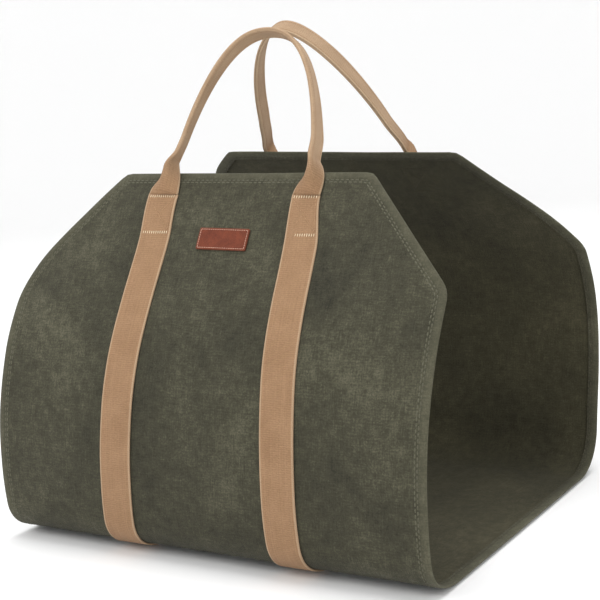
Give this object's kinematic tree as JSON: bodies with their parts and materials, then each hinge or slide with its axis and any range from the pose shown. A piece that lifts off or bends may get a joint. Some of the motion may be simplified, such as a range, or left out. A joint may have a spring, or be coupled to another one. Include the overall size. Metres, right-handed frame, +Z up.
{
  "type": "canvas log carrier",
  "caption": "Waxed canvas sheet bent into an open-ended U for carrying firewood, with two webbing straps under it and a hand loop on each panel.",
  "frame": {"origin": "middle of the footprint, on the floor that the two straps under the base rest on", "axes": "+Z up, +X across the carrier along the sheet's width, -Y towards the front panel that bears the leather patch"},
  "size_m": [0.45, 0.4195, 0.4757],
  "materials": {
    "canvas": "waxed canvas, dark olive, matt with faint lighter wax marks",
    "webbing": "tan cotton webbing, matt, fine twill",
    "leather": "red-brown leather, satin, bare of any lettering"
  },
  "bodies": {
    "root": {"canvas_sheet": "canvas", "strap_left": "webbing", "strap_right": "webbing", "handle_front": "webbing", "handle_back": "webbing", "leather_patch": "leather"}
  },
  "joints": []
}
